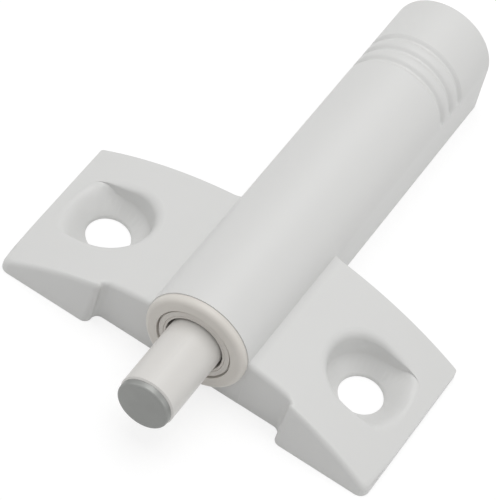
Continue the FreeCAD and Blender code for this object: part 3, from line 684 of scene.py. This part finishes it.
def build_spring(material):
    """The compression spring, with a closed turn at each end."""
    low, high = (Vector(corner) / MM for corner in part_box("plunger_spring"))
    front, seat = low.y + SEAM, high.y
    open_rise = (seat - front - 2 * WIRE_RADIUS - 2 * CLOSED_RISE) / OPEN_TURNS
    shape = bmesh.new()
    bmesh.ops.create_circle(shape, segments=12, radius=WIRE_RADIUS)
    bmesh.ops.translate(shape, vec=(COIL_RADIUS, front + WIRE_RADIUS, AXIS_HEIGHT), verts=list(shape.verts))
    end = filled(shape)
    for turns, rise in ((1, CLOSED_RISE), (OPEN_TURNS, open_rise), (1, CLOSED_RISE)):
        swept = bmesh.ops.spin(
            shape, geom=end, cent=(0, 0, AXIS_HEIGHT), axis=(0, -1, 0), dvec=(0, rise / TURN_STEPS, 0),
            angle=2 * math.pi * turns, steps=round(turns * TURN_STEPS), use_duplicate=False
        )
        end = swept["geom_last"]
    spring = new_piece("spring_coil", shape)
    finish_piece(spring, material, sharp_angle=60.0)
    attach(spring, "bracket")
    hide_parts("plunger_spring")
    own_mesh(spring)


def add_camera():
    camera = bpy.data.objects.new("photo_camera", bpy.data.cameras.new("photo_camera"))
    camera.data.sensor_width = SENSOR_WIDTH
    camera.data.lens = CAMERA_LENS
    camera.data.clip_start = 10 * MM
    camera.data.clip_end = 5000 * MM
    turn = (CAMERA_AIM - CAMERA_PLACE).to_track_quat("-Z", "Y").to_matrix().to_4x4()
    roll = Matrix.Rotation(CAMERA_ROLL, 4, "Z")
    camera.matrix_world = Matrix.Translation(CAMERA_PLACE * MM) @ turn @ roll
    bpy.context.scene.collection.objects.link(camera)
    bpy.context.scene.camera = camera


def add_lamp(name, place, aim, size, power):
    lamp = bpy.data.objects.new(name, bpy.data.lights.new(name, "AREA"))
    lamp.data.shape = "DISK"
    lamp.data.size = size * MM
    lamp.data.energy = power
    turn = (Vector(aim) - Vector(place)).to_track_quat("-Z", "Y").to_matrix().to_4x4()
    lamp.matrix_world = Matrix.Translation(Vector(place) * MM) @ turn
    bpy.context.scene.collection.objects.link(lamp)


class Value:
    """A number in a material, which takes part in sums like any other number."""

    def __init__(self, graph, socket):
        self.graph = graph
        self.socket = socket

    def sum_of(self, operation, first, second):
        inputs = {0: first, 1: second}
        return self.graph.value("ShaderNodeMath", {"operation": operation}, inputs)

    def __add__(self, other):
        return self.sum_of("ADD", self, other)

    def __sub__(self, other):
        return self.sum_of("SUBTRACT", self, other)

    def __mul__(self, other):
        return self.sum_of("MULTIPLY", self, other)

    __radd__ = __add__


class Graph:
    """The nodes of one material or of the world."""

    def __init__(self, tree):
        self.tree = tree

    def node(self, kind, settings, inputs):
        node = self.tree.nodes.new(kind)
        for name, setting in settings.items():
            setattr(node, name, setting)
        for name, source in inputs.items():
            self.feed(node.inputs[name], source)
        return node

    def feed(self, socket, source):
        if isinstance(source, Value):
            self.tree.links.new(source.socket, socket)
        elif isinstance(source, bpy.types.NodeSocket):
            self.tree.links.new(source, socket)
        else:
            socket.default_value = source

    def value(self, kind, settings, inputs):
        return Value(self, self.node(kind, settings, inputs).outputs[0])

    def noise(self, place, scale, detail):
        inputs = {"Vector": place, "Scale": scale, "Detail": detail, "Roughness": 0.55}
        return self.value("ShaderNodeTexNoise", {}, inputs)

    def blend(self, factor, first, second):
        """Colour that goes from first to second with the factor."""
        node = self.node("ShaderNodeMix", {"data_type": "RGBA"}, {0: factor, 6: first, 7: second})
        return node.outputs[2]


def new_material(name):
    material = bpy.data.materials.new(name)
    material.use_nodes = True
    graph = Graph(material.node_tree)
    shader = material.node_tree.nodes["Principled BSDF"]
    place = graph.node("ShaderNodeTexCoord", {}, {}).outputs["Object"]
    return material, graph, shader, place


def shade(colour, amount):
    return tuple(part * amount for part in colour) + (1,)


def moulded_plastic(name, colour, roughness):
    """Satin moulded plastic: a slow drift of tone, a soft flow wave and a fine grain."""
    material, graph, shader, place = new_material(name)
    drift = graph.noise(place, 45.0, 2.0)
    flow = graph.noise(place, 320.0, 3.0)
    grain = graph.noise(place, 6500.0, 2.0)
    tone = drift * 0.7 + flow * 0.3
    graph.feed(shader.inputs["Base Color"], graph.blend(tone, shade(colour, 0.98), shade(colour, 1.02)))
    graph.feed(shader.inputs["Roughness"], roughness + (flow - 0.5) * 0.08 + (grain - 0.5) * 0.06)
    height = grain * 0.7 + flow * 0.3
    bump = graph.node("ShaderNodeBump", {}, {"Strength": 0.12, "Distance": 0.03 * MM, "Height": height})
    graph.feed(shader.inputs["Normal"], bump.outputs[0])
    shader.inputs["IOR"].default_value = 1.5
    return material


def plated_magnet():
    """Dull nickel plating: a dark grey with faint cloudy patches and a fine tooth."""
    material, graph, shader, place = new_material("magnet_plating")
    cloud = graph.noise(place, 420.0, 3.0)
    tooth = graph.noise(place, 9000.0, 2.0)
    colour = (0.275, 0.28, 0.27)
    graph.feed(shader.inputs["Base Color"], graph.blend(cloud, shade(colour, 0.88), shade(colour, 1.12)))
    graph.feed(shader.inputs["Roughness"], 0.42 + (cloud - 0.5) * 0.16 + (tooth - 0.5) * 0.08)
    bump = graph.node("ShaderNodeBump", {}, {"Strength": 0.15, "Distance": 0.02 * MM, "Height": tooth})
    graph.feed(shader.inputs["Normal"], bump.outputs[0])
    shader.inputs["Metallic"].default_value = 0.6
    return material


def drawn_steel():
    """Bright drawn wire: a steel grey with a fine uneven sheen."""
    material, graph, shader, place = new_material("spring_steel")
    sheen = graph.noise(place, 1500.0, 3.0)
    colour = (0.48, 0.47, 0.45)
    graph.feed(shader.inputs["Base Color"], graph.blend(sheen, shade(colour, 0.85), shade(colour, 1.1)))
    graph.feed(shader.inputs["Roughness"], 0.28 + (sheen - 0.5) * 0.2)
    bump = graph.node("ShaderNodeBump", {}, {"Strength": 0.1, "Distance": 0.02 * MM, "Height": sheen})
    graph.feed(shader.inputs["Normal"], bump.outputs[0])
    shader.inputs["Metallic"].default_value = 1.0
    return material


def seen_rays(graph):
    """1 for the rays that show a backdrop: straight from the camera, off gloss, or through glass."""
    path = graph.node("ShaderNodeLightPath", {}, {})
    camera, gloss, glass = (
        Value(graph, path.outputs[name]) for name in ("Is Camera Ray", "Is Glossy Ray", "Is Transmission Ray")
    )
    return graph.value("ShaderNodeMath", {"operation": "MINIMUM"}, {0: camera + gloss + glass, 1: 1.0})


def add_floor():
    """A white floor that keeps the object's shadow."""
    mesh = bpy.data.meshes.new("floor")
    shape = bmesh.new()
    bmesh.ops.create_grid(shape, x_segments=1, y_segments=1, size=2.0)
    shape.to_mesh(mesh)
    shape.free()
    floor = bpy.data.objects.new("floor", mesh)
    # Just under the base, so that the two faces don't share a plane
    floor.location.z = -0.02 * MM
    bpy.context.scene.collection.objects.link(floor)
    material = bpy.data.materials.new("floor")
    material.use_nodes = True
    graph = Graph(material.node_tree)
    plain = graph.node("ShaderNodeBsdfDiffuse", {}, {"Color": (0.8, 0.8, 0.8, 1)})
    lit = graph.node("ShaderNodeBsdfDiffuse", {}, {"Color": (0.3, 0.3, 0.3, 1)})
    glow = graph.node("ShaderNodeEmission", {}, {"Strength": 0.74})
    paper = graph.node("ShaderNodeAddShader", {}, {0: lit.outputs[0], 1: glow.outputs[0]})
    choice = {0: seen_rays(graph), 1: plain.outputs[0], 2: paper.outputs[0]}
    mix = graph.node("ShaderNodeMixShader", {}, choice)
    graph.feed(material.node_tree.nodes["Material Output"].inputs["Surface"], mix.outputs[0])
    mesh.materials.append(material)


def light_world():
    world = bpy.data.worlds.new("studio")
    world.use_nodes = True
    graph = Graph(world.node_tree)
    background = world.node_tree.nodes["Background"]
    background.inputs["Color"].default_value = (1, 1, 1, 1)
    soft = 0.5
    graph.feed(background.inputs["Strength"], soft + seen_rays(graph) * (1 - soft))
    bpy.context.scene.world = world


add_camera()
add_floor()
light_world()
add_lamp("top_lamp", (-30, 60, 320), (0, 15, 0), 300, 0.48)
add_lamp("right_lamp", (260, 30, 150), (0, 10, 5), 200, 0.13)
add_lamp("left_lamp", (-260, -60, 150), (0, 0, 5), 200, 0.09)
bpy.context.scene.view_settings.view_transform = "Standard"

WHITE = (0.68, 0.68, 0.67)
WARM_WHITE = (0.69, 0.66, 0.615)
bracket_plastic = moulded_plastic("bracket_plastic", WHITE, 0.46)
cartridge_plastic = moulded_plastic("cartridge_plastic", WARM_WHITE, 0.42)
bush_plastic = moulded_plastic("bush_plastic", (0.67, 0.64, 0.6), 0.35)
plunger_plastic = moulded_plastic("plunger_plastic", (0.69, 0.675, 0.65), 0.4)
magnet_plating = plated_magnet()
spring_steel = drawn_steel()

materials = {
    "mounting_bracket": bracket_plastic,
    "cartridge_sleeve": cartridge_plastic,
    "guide_bush": bush_plastic,
    "plunger": plunger_plastic,
    "magnet": magnet_plating,
    "end_plug": cartridge_plastic,
    "follower_pin": spring_steel,
    "plunger_spring": spring_steel,
}
for name, material in materials.items():
    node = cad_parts[name]
    node.data.materials.clear()
    node.data.materials.append(material)

build_bracket(bracket_plastic)
build_sleeve(cartridge_plastic)
build_bush(bush_plastic)
build_magnet(magnet_plating)
build_spring(spring_steel)
